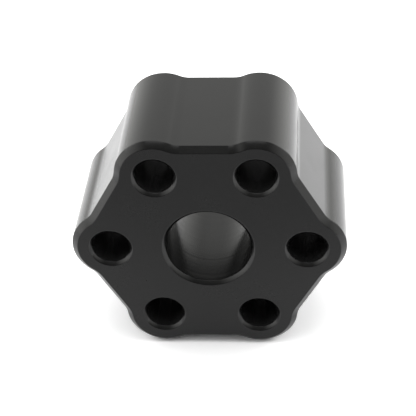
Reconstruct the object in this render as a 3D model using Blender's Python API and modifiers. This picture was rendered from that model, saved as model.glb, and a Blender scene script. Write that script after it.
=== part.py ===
"""Six-lobed spacer block: one machined, black-anodised aluminium piece with a bore and a ring of bolt holes.

Metres, +Z up. The bore runs along Y, the front face looks along -Y, and the block lies on two of its lobes.
"""

import math

import bmesh
import bpy

INCH = 0.0254

# Plan of the block, seen along the bore. Each flat is set back from the line that touches its two lobes.
BOLT_CIRCLE_DIAMETER = 2.000 * INCH
HOLE_COUNT = 6
LOBE_RADIUS = 0.400 * INCH
FLAT_SETBACK = 0.056 * INCH
BLEND_RADIUS = 0.250 * INCH

# Along the bore.
LENGTH = 1.430 * INCH
RIM_CHAMFER = 0.060 * INCH

# Openings. A bolt hole is a close fit on its bolt.
BOLT_DIAMETER = 0.375 * INCH
BOLT_CLEARANCE = 0.011 * INCH
HOLE_CHAMFER = 0.032 * INCH
BORE_DIAMETER = 0.875 * INCH
BORE_CHAMFER = 0.036 * INCH

# Sizes that follow from the ones above.
BOLT_CIRCLE_RADIUS = BOLT_CIRCLE_DIAMETER / 2
HOLE_DIAMETER = BOLT_DIAMETER + BOLT_CLEARANCE
SECTOR = 2 * math.pi / HOLE_COUNT

# How finely the round stretches are divided.
LOBE_STEPS = 28
BLEND_STEPS = 6
HOLE_STEPS = 48
BORE_STEPS = 96

# How far a cutter stands out of the block, and how near two points are to count as one.
CUTTER_OVERRUN = 0.001
WELD_DISTANCE = 0.00001
SHARP_EDGE = math.radians(30)


def arc(centre, radius, start, end, steps):
    """Points on an arc about centre, both ends included."""
    turn = (end - start) / steps
    angles = [start + turn * step for step in range(steps + 1)]
    return [(centre[0] + radius * math.cos(a), centre[1] + radius * math.sin(a)) for a in angles]


def rotated(points, angle):
    """The points, turned about the bore axis."""
    c = math.cos(angle)
    s = math.sin(angle)
    return [(c * x - s * y, s * x + c * y) for x, y in points]


def block_outline():
    """The plan: a round lobe about each bolt hole, a flat between lobes and a hollow blend at each join."""
    # The blend's centre lies outside the flat. It is tangent to the flat and, from outside, to the lobe.
    reach = LOBE_RADIUS + BLEND_RADIUS
    blend_rise = reach - FLAT_SETBACK
    blend_run = math.sqrt(reach**2 - blend_rise**2)
    # The flat after the first lobe faces this way, and the lobe ends where its own normal turns to the blend.
    flat_normal = SECTOR / 2
    lobe_end = flat_normal + math.atan2(blend_run, blend_rise)
    blend_centre = (BOLT_CIRCLE_RADIUS + reach * math.cos(lobe_end), reach * math.sin(lobe_end))
    lobe = arc((BOLT_CIRCLE_RADIUS, 0), LOBE_RADIUS, -lobe_end, lobe_end, LOBE_STEPS)
    blend = arc(blend_centre, BLEND_RADIUS, lobe_end + math.pi, flat_normal + math.pi, BLEND_STEPS)
    # The blend before a lobe is the mirror image of the one after it.
    blend_before = [(x, -y) for x, y in reversed(blend)]
    sector = blend_before[:-1] + lobe + blend[1:]
    return [point for k in range(HOLE_COUNT) for point in rotated(sector, SECTOR * k)]


def new_object(name, data, collection, parent=None):
    obj = bpy.data.objects.new(name, data)
    collection.objects.link(obj)
    obj.parent = parent
    return obj


def new_material(name, colour, roughness, metallic):
    material = bpy.data.materials.new(name)
    material.use_nodes = True
    shader = material.node_tree.nodes["Principled BSDF"]
    shader.inputs["Base Color"].default_value = (*colour, 1)
    shader.inputs["Roughness"].default_value = roughness
    shader.inputs["Metallic"].default_value = metallic
    return material


def evaluated_mesh(obj, name):
    """A plain mesh of the object with its modifiers, or its curve, worked out."""
    mesh = bpy.data.meshes.new_from_object(obj.evaluated_get(bpy.context.evaluated_depsgraph_get()))
    mesh.name = name
    return mesh


def chamfered_blank(name, collection):
    """A mesh of the plan at full length, with both rims chamfered, standing along Z."""
    plan = bpy.data.curves.new(name, "CURVE")
    plan.dimensions = "2D"
    plan.fill_mode = "BOTH"
    plan.extrude = LENGTH / 2 - RIM_CHAMFER
    # A one-step bevel is a flat chamfer. It grows outwards, so the outline starts one chamfer further in.
    plan.bevel_depth = RIM_CHAMFER
    plan.bevel_resolution = 0
    plan.offset = -RIM_CHAMFER
    outline = block_outline()
    spline = plan.splines.new("POLY")
    spline.points.add(len(outline) - 1)
    for point, (x, y) in zip(spline.points, outline):
        point.co = (x, y, 0, 1)
    spline.use_cyclic_u = True
    drawing = new_object(name, plan, collection)
    blank = evaluated_mesh(drawing, name)
    bpy.data.objects.remove(drawing, do_unlink=True)
    # The caps come loose from the walls, and are welded to them.
    weld = bmesh.new()
    weld.from_mesh(blank)
    bmesh.ops.remove_doubles(weld, verts=weld.verts, dist=WELD_DISTANCE)
    weld.to_mesh(blank)
    weld.free()
    return blank


def hole_cutter(name, diameter, chamfer, steps, place, collection, parent):
    """A turned cutter for a through hole: its ends flare at 45 degrees and leave a chamfer at each face."""
    radius = diameter / 2
    end = LENGTH / 2 + CUTTER_OVERRUN
    flare = radius + chamfer + CUTTER_OVERRUN
    waist = LENGTH / 2 - chamfer
    side = [(0, end), (flare, end), (radius, waist), (radius, -waist), (flare, -end), (0, -end)]
    mesh = bpy.data.meshes.new(name)
    mesh.from_pydata([(x, 0, z) for x, z in side], [(i, i + 1) for i in range(len(side) - 1)], [])
    cutter = new_object(name, mesh, collection, parent)
    cutter.location = (*place, 0)
    turn = cutter.modifiers.new("turn", "SCREW")
    turn.axis = "Z"
    turn.angle = 2 * math.pi
    turn.steps = steps
    turn.render_steps = steps
    turn.use_merge_vertices = True
    turn.merge_threshold = WELD_DISTANCE
    cutter.display_type = "WIRE"
    cutter.hide_render = True
    return cutter


for old in list(bpy.data.objects):
    bpy.data.objects.remove(old, do_unlink=True)

spacer = bpy.data.collections.new("hub_spacer")
cutters = bpy.data.collections.new("cutters")
for collection in (spacer, cutters):
    bpy.context.scene.collection.children.link(collection)

# The block is drawn in plan, and this empty turns the plan to face the front.
bore_axis = new_object("bore_axis", None, spacer)
bore_axis.rotation_euler = (math.pi / 2, 0, 0)

block = new_object("spacer_block", chamfered_blank("spacer_block", spacer), spacer, bore_axis)
block.data.materials.append(new_material("black_anodised_aluminium", (0.02, 0.02, 0.02), 0.35, 0.0))

# The openings: the central bore, and one bolt hole through each lobe.
hole_cutter("bore_cutter", BORE_DIAMETER, BORE_CHAMFER, BORE_STEPS, (0, 0), cutters, bore_axis)
for k in range(HOLE_COUNT):
    (centre,) = rotated([(BOLT_CIRCLE_RADIUS, 0)], SECTOR * k)
    name = f"bolt_hole_cutter_{k + 1}"
    hole_cutter(name, HOLE_DIAMETER, HOLE_CHAMFER, HOLE_STEPS, centre, cutters, bore_axis)

openings = block.modifiers.new("bore_and_bolt_holes", "BOOLEAN")
openings.operation = "DIFFERENCE"
openings.operand_type = "COLLECTION"
openings.collection = cutters
openings.solver = "EXACT"

# The finished mesh takes the blank's place, so that its round walls are shaded smooth up to each real edge.
machined = evaluated_mesh(block, "machined_block")
block.modifiers.clear()
block.data = machined
machined.shade_smooth()
machined.set_sharp_from_angle(angle=SHARP_EDGE)
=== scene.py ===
# %% [markdown]
# This lesson finishes a hub spacer: one block of aluminium, milled to a hexagon with a round lobe at
# each corner, bored, drilled, chamfered and then anodised black. The CAD model already has its true size
# and shape, but its round walls are flat facets, and black anodise shows every facet in its reflections.
# So the CAD block stays as the frame that says where everything is, and a finer block is modelled here
# to stand for it.

# %% Load the frame
import math

import bmesh
import bpy
from mathutils import Matrix, Vector


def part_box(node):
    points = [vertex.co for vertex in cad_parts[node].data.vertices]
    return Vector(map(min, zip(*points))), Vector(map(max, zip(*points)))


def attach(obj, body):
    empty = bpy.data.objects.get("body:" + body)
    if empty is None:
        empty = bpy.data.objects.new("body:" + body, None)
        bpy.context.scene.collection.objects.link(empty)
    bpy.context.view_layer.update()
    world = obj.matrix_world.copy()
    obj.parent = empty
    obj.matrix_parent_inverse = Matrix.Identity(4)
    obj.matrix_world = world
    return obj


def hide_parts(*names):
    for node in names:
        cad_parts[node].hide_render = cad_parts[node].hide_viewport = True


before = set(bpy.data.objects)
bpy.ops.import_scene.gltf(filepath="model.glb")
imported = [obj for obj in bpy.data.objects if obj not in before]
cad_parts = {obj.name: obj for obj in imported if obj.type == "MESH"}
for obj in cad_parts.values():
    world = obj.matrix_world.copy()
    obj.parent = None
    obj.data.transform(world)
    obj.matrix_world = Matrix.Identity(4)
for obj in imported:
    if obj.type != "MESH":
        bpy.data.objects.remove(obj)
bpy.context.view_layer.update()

# %% [markdown]
# A drawing of this block gives sizes in inches: the circle that the bolt holes lie on, the radius of the
# lobes, the bore, and the chamfers. The length and the lobes are read from the CAD box, so that they
# can't drift from it. A flat is given by how far it is set back from the line that touches its two lobes.

# %% Sizes of the block
INCH = 0.0254
MILLIMETRE = 0.001

block_low, block_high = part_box("spacer_block")
FRONT = block_low.y
REAR = block_high.y
HOLE_COUNT = 6
SECTOR = 2 * math.pi / HOLE_COUNT
BOLT_CIRCLE_RADIUS = 1.000 * INCH
LOBE_RADIUS = block_high.z - BOLT_CIRCLE_RADIUS * math.sin(SECTOR)
FLAT_SETBACK = 0.056 * INCH
BLEND_RADIUS = 0.250 * INCH
RIM_CHAMFER = 0.060 * INCH
HOLE_RADIUS = 0.193 * INCH
HOLE_CHAMFER = 0.032 * INCH
BORE_RADIUS = 0.4375 * INCH
BORE_CHAMFER = 0.036 * INCH
print(f"lobe radius {LOBE_RADIUS / INCH:.3f} in, length {(REAR - FRONT) / INCH:.3f} in")

# %% [markdown]
# The outline is drawn the way a milling cutter runs round the block. A single point swings round a lobe,
# swings back through the hollow blend, runs along the flat and swings through the next blend. Spinning
# one vertex draws an arc, and extruding one draws a straight run, so no list of points is needed. Each
# arc starts in the direction in which the last stretch ended, so lobe, blend and flat meet without a
# corner. The arcs are fine enough that no facet shows on the lobes' edges.

# %% Draw the outline
LOBE_STEPS = 96
BLEND_STEPS = 20
WELD = 0.001 * MILLIMETRE
TOWARDS_CAMERA = Vector((0, -1, 0))


def polar(radius, angle, depth):
    """A point round the bore, counted from +X towards +Z."""
    return Vector((radius * math.cos(angle), depth, radius * math.sin(angle)))


def swing(bm, pen, centre, angle, steps):
    """Draws an arc from the vertex pen, and returns the vertex at its end."""
    arc = bmesh.ops.spin(bm, geom=[pen], cent=centre, axis=TOWARDS_CAMERA, angle=angle, steps=steps)
    return next(item for item in arc["geom_last"] if isinstance(item, bmesh.types.BMVert))


def run(bm, pen, step):
    """Draws a straight line from the vertex pen, and returns the vertex at its end."""
    end = bmesh.ops.extrude_vert_indiv(bm, verts=[pen])["verts"][0]
    end.co += step
    return end


def draw_outline(bm):
    reach = LOBE_RADIUS + BLEND_RADIUS
    blend_turn = math.acos((reach - FLAT_SETBACK) / reach)
    lobe_turn = SECTOR + 2 * blend_turn
    flat_length = 2 * (BOLT_CIRCLE_RADIUS * math.sin(SECTOR / 2) - reach * math.sin(blend_turn))
    pen = bm.verts.new(polar(BOLT_CIRCLE_RADIUS, 0, FRONT) + polar(LOBE_RADIUS, -lobe_turn / 2, 0))
    for k in range(HOLE_COUNT):
        lobe_centre = polar(BOLT_CIRCLE_RADIUS, k * SECTOR, FRONT)
        out_of_flat = polar(1, (k + 0.5) * SECTOR, 0)
        along_flat = polar(1, (k + 0.5) * SECTOR + math.pi / 2, 0)
        pen = swing(bm, pen, lobe_centre, lobe_turn, LOBE_STEPS)
        out_of_lobe = (pen.co - lobe_centre).normalized()
        pen = swing(bm, pen, pen.co + out_of_lobe * BLEND_RADIUS, -blend_turn, BLEND_STEPS)
        pen = run(bm, pen, along_flat * flat_length)
        pen = swing(bm, pen, pen.co + out_of_flat * BLEND_RADIUS, -blend_turn, BLEND_STEPS)
    bmesh.ops.remove_doubles(bm, verts=bm.verts, dist=WELD)


block = bmesh.new()
draw_outline(block)
closed = all(len(vert.link_edges) == 2 for vert in block.verts)
print("outline:", len(block.verts), "points, closed:", closed)

# %% [markdown]
# The outline is filled and extruded to the block's length. Beveling the two rims in one step gives the
# flat chamfer that a chamfer mill leaves. A narrow lip is then inset into each end face and the middle of
# the face is taken away: the openings come first, and the face is filled in round them afterwards.

# %% Extrude the block and chamfer its rims
LIP = 0.4 * MILLIMETRE


def end_faces(bm):
    """The two many-sided faces. All others have four corners."""
    return [face for face in bm.faces if len(face.verts) > 4]


bmesh.ops.contextual_create(block, geom=block.edges)
raised = bmesh.ops.extrude_face_region(block, geom=block.faces[:])
raised_verts = [item for item in raised["geom"] if isinstance(item, bmesh.types.BMVert)]
bmesh.ops.translate(block, verts=raised_verts, vec=(0, REAR - FRONT, 0))
bmesh.ops.recalc_face_normals(block, faces=block.faces)

rims = [edge for face in end_faces(block) for edge in face.edges]
bmesh.ops.bevel(
    block, geom=rims, affect="EDGES", offset=RIM_CHAMFER, offset_type="OFFSET", segments=1, profile=0.5,
    material=-1,
)
bmesh.ops.inset_region(block, faces=end_faces(block), thickness=LIP, use_even_offset=True)
bmesh.ops.delete(block, geom=end_faces(block), context="FACES_ONLY")
print("skin:", len(block.faces), "faces, rim edges chamfered:", len(rims))

# %% [markdown]
# The bore and the bolt holes are turned shapes. Each starts as a half section that runs from a lip on
# the front face down the chamfer, along the wall and out over the rear chamfer, and a full spin turns it
# about the hole's axis. Many steps keep the reflections in the bore smooth.

# %% Turn the bore and the bolt holes
BORE_STEPS = 240
HOLE_STEPS = 144


def turn_opening(bm, centre, radius, chamfer, steps):
    section = [
        (radius + chamfer + LIP, FRONT),
        (radius + chamfer, FRONT),
        (radius, FRONT + chamfer),
        (radius, REAR - chamfer),
        (radius + chamfer, REAR),
        (radius + chamfer + LIP, REAR),
    ]
    verts = [bm.verts.new(centre + Vector((r, y, 0))) for r, y in section]
    edges = [bm.edges.new(pair) for pair in zip(verts, verts[1:])]
    bmesh.ops.spin(
        bm, geom=verts + edges, cent=centre, axis=TOWARDS_CAMERA, angle=2 * math.pi, steps=steps,
        use_merge=True,
    )


hole_centres = [polar(BOLT_CIRCLE_RADIUS, k * SECTOR, 0) for k in range(HOLE_COUNT)]
turn_opening(block, Vector((0, 0, 0)), BORE_RADIUS, BORE_CHAMFER, BORE_STEPS)
for hole_centre in hole_centres:
    turn_opening(block, hole_centre, HOLE_RADIUS, HOLE_CHAMFER, HOLE_STEPS)
print("with openings:", len(block.faces), "faces")

# %% [markdown]
# No real edge is perfectly sharp. Deburring and the etch before anodising leave a tiny round on every
# edge, and it is this round that catches the light. All edges that turn by more than about a quarter of a
# right angle get it at once.

# %% Break the edges
EDGE_BREAK = 0.09 * MILLIMETRE
BREAK_STEPS = 3
SHARP = math.radians(22)

bmesh.ops.remove_doubles(block, verts=block.verts, dist=WELD)
bmesh.ops.recalc_face_normals(block, faces=block.faces)
sharp_edges = [edge for edge in block.edges if edge.calc_face_angle(0) > SHARP]
bmesh.ops.bevel(
    block, geom=sharp_edges, affect="EDGES", offset=EDGE_BREAK, offset_type="OFFSET",
    segments=BREAK_STEPS, profile=0.5, material=-1,
)
print("edges broken:", len(sharp_edges))

# %% [markdown]
# Each end face is now a flat region with seven gaps in it. A triangle fill takes all the open edges of
# one end at once, finds which loops are holes, and closes the region between them. Because the region is
# flat, its triangles don't show.

# %% Fill the end faces
for depth in (FRONT, REAR):
    open_edges = [
        edge for edge in block.edges
        if edge.is_boundary and all(abs(vert.co.y - depth) < WELD for vert in edge.verts)
    ]
    bmesh.ops.triangle_fill(block, use_beauty=True, edges=open_edges, normal=(0, 1, 0))
bmesh.ops.recalc_face_normals(block, faces=block.faces)
closed = all(edge.is_manifold for edge in block.edges)
print("closed:", closed, "volume in mm3:", round(block.calc_volume() / MILLIMETRE**3))

# %% [markdown]
# The tools leave different marks on different surfaces, so the faces are sorted by the tool that made
# them: a face mill cut the ends, an end mill cut the sides and rims, a boring bar and a drill made the
# openings, and a countersink cut their chamfers. A face belongs to an opening when it lies within that
# opening's chamfer.

# %% Sort the faces by how they were cut
END_FACE, SIDE, BORE, DRILLED, CHAMFER = range(5)
FLAT_END = 0.99

for face in block.faces:
    middle = face.calc_center_median()
    middle.y = 0
    from_bore = middle.length - BORE_RADIUS
    from_hole = min((middle - centre).length for centre in hole_centres) - HOLE_RADIUS
    if abs(face.normal.y) > FLAT_END:
        face.material_index = END_FACE
    elif from_bore < 0:
        face.material_index = BORE
    elif from_hole < 0:
        face.material_index = DRILLED
    elif from_bore < BORE_CHAMFER + LIP or from_hole < HOLE_CHAMFER + LIP:
        face.material_index = CHAMFER
    else:
        face.material_index = SIDE
    face.smooth = True
cuts = [face.material_index for face in block.faces]
print("faces by cut:", [cuts.count(cut) for cut in (END_FACE, SIDE, BORE, DRILLED, CHAMFER)])

# %% [markdown]
# The mesh becomes one piece, which stands for the CAD block and moves with it. All its faces are shaded
# smooth. The large faces set the shading at each edge, so that the flats stay flat right up to the
# broken edges.

# %% Make the piece
block_mesh = bpy.data.meshes.new("spacer_block_finished")
block.to_mesh(block_mesh)
block.free()
piece = bpy.data.objects.new("spacer_block_finished", block_mesh)
bpy.context.scene.collection.objects.link(piece)
shading = piece.modifiers.new("flats_stay_flat", "WEIGHTED_NORMAL")
shading.keep_sharp = True
shading.weight = 100
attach(piece, "root")
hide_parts("spacer_block")
print("piece:", len(block_mesh.polygons), "faces")

# %% [markdown]
# Black anodise is a glassy layer of aluminium oxide, grown on the metal, dyed black and sealed. The eye
# sees almost no colour from inside it. It sees a weak, slightly blurred reflection from its top, about 3
# parts in 100 face on and much more at a glancing angle, so the block is black in front and grey or white
# along its flanks. Written as a shader, that is a nearly black base, no metallic part and the index of a
# clear coating. A few small functions keep the materials short.

# %% Helpers for materials
def linear(hex_colour):
    """An sRGB hex colour as the linear values that a shader takes."""
    parts = [int(hex_colour[i : i + 2], 16) / 255 for i in (1, 3, 5)]
    return [p / 12.92 if p <= 0.04045 else ((p + 0.055) / 1.055) ** 2.4 for p in parts] + [1]


def add(tree, kind, links=None, **settings):
    """Adds a node with its settings. links gives its inputs a value or another node's output."""
    made = tree.nodes.new(kind)
    for name, value in settings.items():
        setattr(made, name, value)
    for socket, value in (links or {}).items():
        if isinstance(value, bpy.types.NodeSocket):
            tree.links.new(value, made.inputs[socket])
        else:
            made.inputs[socket].default_value = value
    return made


def per_mm(size):
    """A texture scale, in object coordinates in metres, for features about size millimetres wide."""
    return 1 / (size * MILLIMETRE)


ANODISE_BLACK = "#0c0c0c"
ANODISE_DEEP = "#080808"
print("black anodise sends back", round(linear(ANODISE_BLACK)[0], 4), "of the light from inside it")

# %% [markdown]
# All five finishes share the anodise and differ in the marks under it. The marks come as a height in a
# bump node. A slow cloud and a fine speckle in the roughness stand for the uneven etch that the whole
# block went through, and the cloud also makes the dye slightly uneven. Marks that run round an opening
# blur a reflection along the opening more than across it, so the tangent is set along the bore, for the
# finish that asks for such a blur.

# %% The anodised finish
ANODISE_INDEX = 1.42
CLOUD_SIZE = 9
SPECKLE_SIZE = 0.5
UNEVEN_LOW = 0.7
UNEVEN_HIGH = 1.3


def anodised(name, draw_marks, mark_depth, roughness, more=None):
    """A finish with marks that are mark_depth millimetres deep. more changes the shader's other inputs."""
    material = bpy.data.materials.new(name)
    material.use_nodes = True
    tree = material.node_tree
    tree.nodes.clear()
    place = add(tree, "ShaderNodeTexCoord").outputs["Object"]
    marks = draw_marks(tree, place)
    cloud = add(
        tree, "ShaderNodeTexNoise", {"Vector": place, "Scale": per_mm(CLOUD_SIZE), "Detail": 3.0}
    ).outputs["Fac"]
    speckle = add(
        tree, "ShaderNodeTexNoise", {"Vector": place, "Scale": per_mm(SPECKLE_SIZE), "Detail": 2.0}
    ).outputs["Fac"]
    uneven = add(tree, "ShaderNodeMath", {0: cloud, 1: speckle}, operation="ADD").outputs[0]
    rough = add(
        tree, "ShaderNodeMapRange",
        {"Value": uneven, "From Min": UNEVEN_LOW, "From Max": UNEVEN_HIGH,
         "To Min": roughness[0], "To Max": roughness[1]},
    ).outputs[0]
    dye = add(
        tree, "ShaderNodeMix", {0: cloud, 6: linear(ANODISE_DEEP), 7: linear(ANODISE_BLACK)},
        data_type="RGBA",
    ).outputs[2]
    bump = add(
        tree, "ShaderNodeBump", {"Height": marks, "Strength": 1.0, "Distance": mark_depth * MILLIMETRE}
    ).outputs[0]
    along = add(tree, "ShaderNodeCombineXYZ", {"Y": 1.0}).outputs[0]
    shader = add(
        tree, "ShaderNodeBsdfPrincipled",
        {"Base Color": dye, "Roughness": rough, "Normal": bump, "IOR": ANODISE_INDEX, "Metallic": 0.0,
         "Tangent": along, **(more or {})},
    ).outputs[0]
    add(tree, "ShaderNodeOutputMaterial", {"Surface": shader})
    print("finish:", name)
    return material


print("index of the coating:", ANODISE_INDEX)

# %% [markdown]
# A face mill sweeps across the end in wide arcs. A large cutter, working across the face, leaves faint
# rings about a centre off to one side. The real rings are about 0.2 mm apart, finer than the picture can
# show, so they are drawn at 0.6 mm. Such a fine grid of ridges scatters part of the reflection, and the
# end looks a little blacker than the sides, so its specular level is below the usual 0.5.

# %% Finish of the milled ends
FACING_PITCH = 0.6
FACING_CENTRE = (0.030, 0, -0.085)
# A wave texture repeats every 2 pi / 20 units at scale 1.
WAVE_UNIT = math.pi / 10


def facing_marks(tree, place):
    centred = add(
        tree, "ShaderNodeMapping", {"Vector": place, "Location": [-v for v in FACING_CENTRE]}
    ).outputs[0]
    return add(
        tree, "ShaderNodeTexWave",
        {"Vector": centred, "Scale": per_mm(FACING_PITCH) * WAVE_UNIT, "Distortion": 0.6, "Detail": 2.0},
        wave_type="RINGS", rings_direction="Y",
    ).outputs["Fac"]


milled_end = anodised(
    "black anodise on a face-milled end", facing_marks, mark_depth=0.0004, roughness=(0.22, 0.28),
    more={"Specular IOR Level": 0.4},
)

# %% [markdown]
# The side of an end mill cuts the flanks in full-length strokes, so its marks are fine lines that run
# along the block. A noise squeezed across the strokes and stretched along them gives lines of uneven
# width, as a cutter that runs slightly out of true does. They are about 0.3 mm apart.

# %% Finish of the milled sides
STROKE_PITCH = 0.3
STROKE_LENGTH = 60


def streaks(tree, place, widths):
    """A noise whose features have these widths in millimetres along X, Y and Z."""
    stretched = add(
        tree, "ShaderNodeMapping", {"Vector": place, "Scale": [per_mm(width) for width in widths]}
    ).outputs[0]
    return add(
        tree, "ShaderNodeTexNoise", {"Vector": stretched, "Scale": 1.0, "Detail": 2.0}
    ).outputs["Fac"]


def stroke_marks(tree, place):
    return streaks(tree, place, (STROKE_PITCH, STROKE_LENGTH, STROKE_PITCH))


milled_side = anodised(
    "black anodise on end-milled sides", stroke_marks, mark_depth=0.0012, roughness=(0.17, 0.23)
)

# %% [markdown]
# A boring bar turns a fine helix into the wall, which reads as rings across the bore's axis. Real rings
# are about 0.15 mm apart and 0.005 mm deep. Here they are drawn eight times as coarse in both, so that
# the picture can show them and their slopes stay true. The bar springs a little as it cuts, so no two
# rings are alike, and the same stretched noise serves. The rings draw the bore's reflections out along
# its axis.

# %% Finish of the bore
RING_SPACING = 1.2
RING_LENGTH = 60


def ring_marks(tree, place):
    return streaks(tree, place, (RING_LENGTH, RING_SPACING, RING_LENGTH))


bored_wall = anodised(
    "black anodise on a bored wall", ring_marks, mark_depth=0.04, roughness=(0.22, 0.26),
    more={"Anisotropic": 0.5, "Specular IOR Level": 0.46},
)

# %% [markdown]
# A drill and a countersink leave feed marks too, even ones about 0.15 mm apart, drawn here at 0.45 mm.
# The drill's lands rub the wall smooth. The walls of the holes are given a dark grey base rather than
# black: painted light, which stands for the faint light seen deep in the holes.

# %% Finishes of the bolt holes and the chamfers
FEED_PITCH = 0.45
# Painted light: a dark grey base on the hole walls stands for the faint light seen deep in the holes.
HOLE_WALL_PAINTED_LIGHT = "#242424"


def feed_marks(tree, place):
    return add(
        tree, "ShaderNodeTexWave",
        {"Vector": place, "Scale": per_mm(FEED_PITCH) * WAVE_UNIT, "Distortion": 0.8, "Detail": 2.0},
        wave_type="BANDS", bands_direction="Y",
    ).outputs["Fac"]


drilled_wall = anodised(
    "black anodise on a drilled wall", feed_marks, mark_depth=0.0003, roughness=(0.16, 0.20),
    more={"Base Color": linear(HOLE_WALL_PAINTED_LIGHT)},
)
countersunk = anodised(
    "black anodise on a countersunk chamfer", feed_marks, mark_depth=0.0002, roughness=(0.18, 0.23)
)
# The order is that of the numbers which the faces were sorted by.
for finish in (milled_end, milled_side, bored_wall, drilled_wall, countersunk):
    block_mesh.materials.append(finish)
print("finishes on the piece:", len(block_mesh.materials))

# %% [markdown]
# The block lies on a sheet of matt white paper, on two of its lobes. The sheet is about nine times as
# wide as the block, so that the block's flanks reflect paper almost to the horizon.

# %% Lay the sheet
SHEET_SIZE = 0.64

sheet_mesh = bpy.data.meshes.new("white_sheet")
sheet_bm = bmesh.new()
bmesh.ops.create_grid(sheet_bm, x_segments=1, y_segments=1, size=SHEET_SIZE / 2)
bmesh.ops.translate(sheet_bm, verts=sheet_bm.verts, vec=(0, 0, block_low.z))
sheet_bm.to_mesh(sheet_mesh)
sheet_bm.free()
sheet = bpy.data.objects.new("white_sheet", sheet_mesh)
bpy.context.scene.collection.objects.link(sheet)
print("sheet at z", round(block_low.z, 5))

# %% [markdown]
# The camera sees the sheet as pure white, with only a soft shadow close to the block. So the sheet has
# its true white for the light that it sends to the block, and a colour raised above white for the camera
# and, slightly less, for reflections. The raised colour keeps the shadow, and puts no extra light on the
# block. A painted pool of light is laid into it: brightest round the block and falling off outwards. In
# front, a painted shade stands for the camera and its stand keeping light from the sheet. That painted
# shade is out of the picture, but the end face reflects it.

# %% The white of the sheet
SHEET_WHITE = 0.8
# Painted light and shade: the near and far whites make a painted pool of light round the block, and the
# shaded white a painted shade in front of it.
PAINTED_POOL_NEAR = 1.42
PAINTED_POOL_FAR = 1.3
PAINTED_SHADE_LEVEL = 0.75
MIRRORED_SHARE = 0.95
PAINTED_POOL_CENTRE = (0, 0, block_low.z)
PAINTED_POOL_EDGE = (0.045, 0.11)
PAINTED_SHADE_CENTRE = (0, -0.135, block_low.z)
PAINTED_SHADE_EDGE = (0.06, 0.13)

paper = bpy.data.materials.new("matt white paper")
paper.use_nodes = True
tree = paper.node_tree
tree.nodes.clear()
place = add(tree, "ShaderNodeTexCoord").outputs["Object"]
# The painted pool of light and the painted shade in front are laid out by distance from these two centres.
from_painted_pool = add(
    tree, "ShaderNodeVectorMath", {0: place, 1: PAINTED_POOL_CENTRE}, operation="DISTANCE"
).outputs["Value"]
from_painted_shade = add(
    tree, "ShaderNodeVectorMath", {0: place, 1: PAINTED_SHADE_CENTRE}, operation="DISTANCE"
).outputs["Value"]
painted_light_pool = add(
    tree, "ShaderNodeMapRange",
    {"Value": from_painted_pool, "From Min": PAINTED_POOL_EDGE[0], "From Max": PAINTED_POOL_EDGE[1],
     "To Min": PAINTED_POOL_NEAR, "To Max": PAINTED_POOL_FAR},
).outputs[0]
raised = add(
    tree, "ShaderNodeMapRange",
    {"Value": from_painted_shade, "From Min": PAINTED_SHADE_EDGE[0], "From Max": PAINTED_SHADE_EDGE[1],
     "To Min": PAINTED_SHADE_LEVEL, "To Max": painted_light_pool},
).outputs[0]
dimmed = add(tree, "ShaderNodeMath", {0: raised, 1: MIRRORED_SHARE}, operation="MULTIPLY").outputs[0]

rays = add(tree, "ShaderNodeLightPath").outputs
mirrored = add(
    tree, "ShaderNodeMath", {0: rays["Is Glossy Ray"], 1: rays["Is Transmission Ray"]},
    operation="MAXIMUM",
).outputs[0]
# A reflection that lights the sheet itself sees the true white.
direct = add(tree, "ShaderNodeMath", {0: rays["Diffuse Depth"], 1: 0.5}, operation="LESS_THAN").outputs[0]
mirrored = add(tree, "ShaderNodeMath", {0: mirrored, 1: direct}, operation="MULTIPLY").outputs[0]
white = add(
    tree, "ShaderNodeMix", {0: mirrored, 2: SHEET_WHITE, 3: dimmed}, data_type="FLOAT"
).outputs[0]
white = add(
    tree, "ShaderNodeMix", {0: rays["Is Camera Ray"], 2: white, 3: raised}, data_type="FLOAT"
).outputs[0]
matt = add(tree, "ShaderNodeBsdfDiffuse", {"Color": white}).outputs[0]
add(tree, "ShaderNodeOutputMaterial", {"Surface": matt})
sheet_mesh.materials.append(paper)
print("white of the sheet:", SHEET_WHITE, "and raised for the camera:", PAINTED_POOL_NEAR)

# %% [markdown]
# What a black glossy block looks like is what stands round it. Here that is a light tent: white cloth to
# the left, to the right and behind, and an opening in front, through which the camera looks and the dim
# room shows. The left cloth is the brighter one. The world holds all this by direction, with X to the
# right, Y away from the camera and Z up. First come the room and the two side cloths. Their front edges
# lean towards the camera as they rise.

# %% The room and the side cloths
# A pair gives the directions between which one brightness changes to the next.
ROOM_LOW = 0.025
ROOM_HIGH = 0.36
ROOM_RISE = (0.3, 0.8)
LEFT_CLOTH = 2.4
LEFT_REACH = (-0.35, -0.95)
RIGHT_CLOTH = 1.7
RIGHT_REACH = (0.4, 0.95)
EDGE_LEAN = 0.43
FRONT_EDGE = (-0.62, -0.42)

world = bpy.data.worlds.new("light_tent")
bpy.context.scene.world = world
world.use_nodes = True
tree = world.node_tree
tree.nodes.clear()
direction = add(tree, "ShaderNodeTexCoord").outputs["Generated"]
parts = add(tree, "ShaderNodeSeparateXYZ", {0: direction}).outputs
room = add(
    tree, "ShaderNodeMapRange",
    {"Value": parts["Z"], "From Min": ROOM_RISE[0], "From Max": ROOM_RISE[1],
     "To Min": ROOM_LOW, "To Max": ROOM_HIGH},
).outputs[0]
cloths = room
for (start, full), brightness in ((LEFT_REACH, LEFT_CLOTH), (RIGHT_REACH, RIGHT_CLOTH)):
    lit = add(
        tree, "ShaderNodeMapRange", {"Value": parts["X"], "From Min": start, "From Max": full}
    ).outputs[0]
    cloths = add(
        tree, "ShaderNodeMix", {0: lit, 2: cloths, 3: brightness}, data_type="FLOAT"
    ).outputs[0]
behind_edge = add(
    tree, "ShaderNodeMath", {0: parts["Z"], 1: EDGE_LEAN, 2: parts["Y"]}, operation="MULTIPLY_ADD"
).outputs[0]
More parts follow.
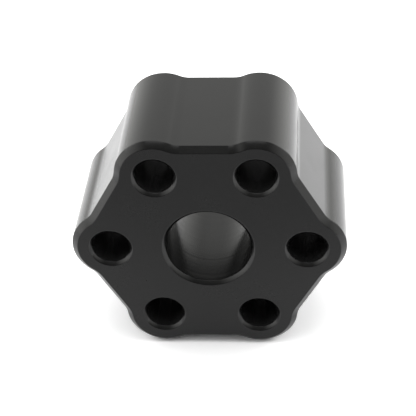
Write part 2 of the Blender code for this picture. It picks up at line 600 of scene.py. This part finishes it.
covered = add(
    tree, "ShaderNodeMapRange",
    {"Value": behind_edge, "From Min": FRONT_EDGE[0], "From Max": FRONT_EDGE[1]},
).outputs[0]
sides = add(tree, "ShaderNodeMix", {0: covered, 2: room, 3: cloths}, data_type="FLOAT").outputs[0]
print("left and right cloth:", LEFT_CLOTH, RIGHT_CLOTH, "room:", ROOM_LOW, "to", ROOM_HIGH)

# %% [markdown]
# The cloth behind the block is what its top and its bore reflect. It is bright low down, near the white
# sheet, and brightest near the top, under the lamp. Towards its two ends it picks up light from the side
# lamps, more on the right. The camera itself sees all cloth as plain white. The cloth is a very slightly
# warm white, which only reflections show, so that the shadow on the sheet stays neutral.

# %% The back cloth
BACK_LOW = 1.36
BACK_HIGH = 1.08
BACK_RISE = (0.0, 0.45)
BACK_EDGE = (0.1, 0.65)
# Each gain has an axis, the directions between which it grows, and its full size.
RIGHT_GAIN = ("X", 0.3, 0.6, 0.52)
LEFT_GAIN = ("X", -0.3, -0.6, 0.15)
TOP_GAIN = ("Z", 0.6, 0.85, 1.0)
CLOTH_WHITE = "#fffffc"

back_cloth = add(
    tree, "ShaderNodeMapRange",
    {"Value": parts["Z"], "From Min": BACK_RISE[0], "From Max": BACK_RISE[1],
     "To Min": BACK_LOW, "To Max": BACK_HIGH},
).outputs[0]
for axis, start, full, gain in (RIGHT_GAIN, LEFT_GAIN, TOP_GAIN):
    gained = add(
        tree, "ShaderNodeMapRange",
        {"Value": parts[axis], "From Min": start, "From Max": full, "To Max": gain},
    ).outputs[0]
    back_cloth = add(tree, "ShaderNodeMath", {0: back_cloth, 1: gained}, operation="ADD").outputs[0]
behind = add(
    tree, "ShaderNodeMapRange",
    {"Value": parts["Y"], "From Min": BACK_EDGE[0], "From Max": BACK_EDGE[1]},
    interpolation_type="SMOOTHSTEP",
).outputs[0]
tent = add(tree, "ShaderNodeMix", {0: behind, 2: sides, 3: back_cloth}, data_type="FLOAT").outputs[0]

rays = add(tree, "ShaderNodeLightPath").outputs
strength = add(
    tree, "ShaderNodeMix", {0: rays["Is Camera Ray"], 2: tent, 3: 1.0}, data_type="FLOAT"
).outputs[0]
colour = add(
    tree, "ShaderNodeMix",
    {0: rays["Is Glossy Ray"], 6: linear("#ffffff"), 7: linear(CLOTH_WHITE)}, data_type="RGBA",
).outputs[2]
cloth = add(tree, "ShaderNodeBackground", {"Color": colour, "Strength": strength}).outputs[0]
add(tree, "ShaderNodeOutputWorld", {"Surface": cloth})
print("back cloth:", BACK_LOW, "low and", BACK_HIGH + TOP_GAIN[3], "at the top; tent nodes:", len(tree.nodes))

# %% [markdown]
# Three square lamps shine through the cloth: one from above, slightly towards the camera, and one from
# each side, 35 degrees up. Between them they fill in most of the shadow on the sheet. The right lamp is
# the stronger one. The power of each is worked out from the brightness that it should have in a
# reflection.

# %% The lamps
LAMP_DISTANCE = 0.8


def hang_lamp(name, azimuth, elevation, size, brightness):
    """Hangs a lamp that faces the block. The azimuth counts from straight behind the block to the right."""
    light = bpy.data.lights.new(name, "AREA")
    light.size = size
    light.energy = brightness * math.pi * size**2
    lamp = bpy.data.objects.new(name, light)
    bpy.context.scene.collection.objects.link(lamp)
    place = Vector((0, 0, LAMP_DISTANCE))
    place.rotate(Matrix.Rotation(math.radians(elevation - 90), 4, "X"))
    place.rotate(Matrix.Rotation(math.radians(-azimuth), 4, "Z"))
    lamp.location = place
    lamp.rotation_euler = place.to_track_quat("Z", "Y").to_euler()
    print(name, "at", [round(v, 3) for v in place])


hang_lamp("overhead_lamp", azimuth=180, elevation=84, size=0.6, brightness=1.7)
hang_lamp("left_lamp", azimuth=-88, elevation=35, size=0.4, brightness=2.5)
hang_lamp("right_lamp", azimuth=88, elevation=35, size=0.4, brightness=3.8)

# %% [markdown]
# The camera stands at the photograph's angle. Its place is given the way one would say it: which way it
# looks, how far it looks down, how far it is from the block, and its slight tilt. A long lens keeps the
# block's sides nearly parallel.

# %% The camera
CAMERA_AZIMUTH = math.radians(5.365)
CAMERA_ELEVATION = math.radians(35.65)
CAMERA_TILT = math.radians(-2.957)
CAMERA_DISTANCE = 0.3385
CAMERA_AIM = Vector((-0.00125, -0.0001, 0))
LENS = 108.9
SENSOR_WIDTH = 36

camera_data = bpy.data.cameras.new("camera")
camera_data.lens = LENS
camera_data.sensor_width = SENSOR_WIDTH
camera_data.clip_start = 0.01
camera = bpy.data.objects.new("camera", camera_data)
bpy.context.scene.collection.objects.link(camera)
turn = (
    Matrix.Rotation(CAMERA_AZIMUTH, 4, "Z")
    @ Matrix.Rotation(math.pi / 2 - CAMERA_ELEVATION, 4, "X")
    @ Matrix.Rotation(CAMERA_TILT, 4, "Z")
)
stand_off = Matrix.Translation((0, 0, CAMERA_DISTANCE))
camera.matrix_world = Matrix.Translation(CAMERA_AIM) @ turn @ stand_off
bpy.context.scene.camera = camera
bpy.context.scene.view_settings.view_transform = "Standard"
print("camera at", [round(v, 4) for v in camera.matrix_world.translation])
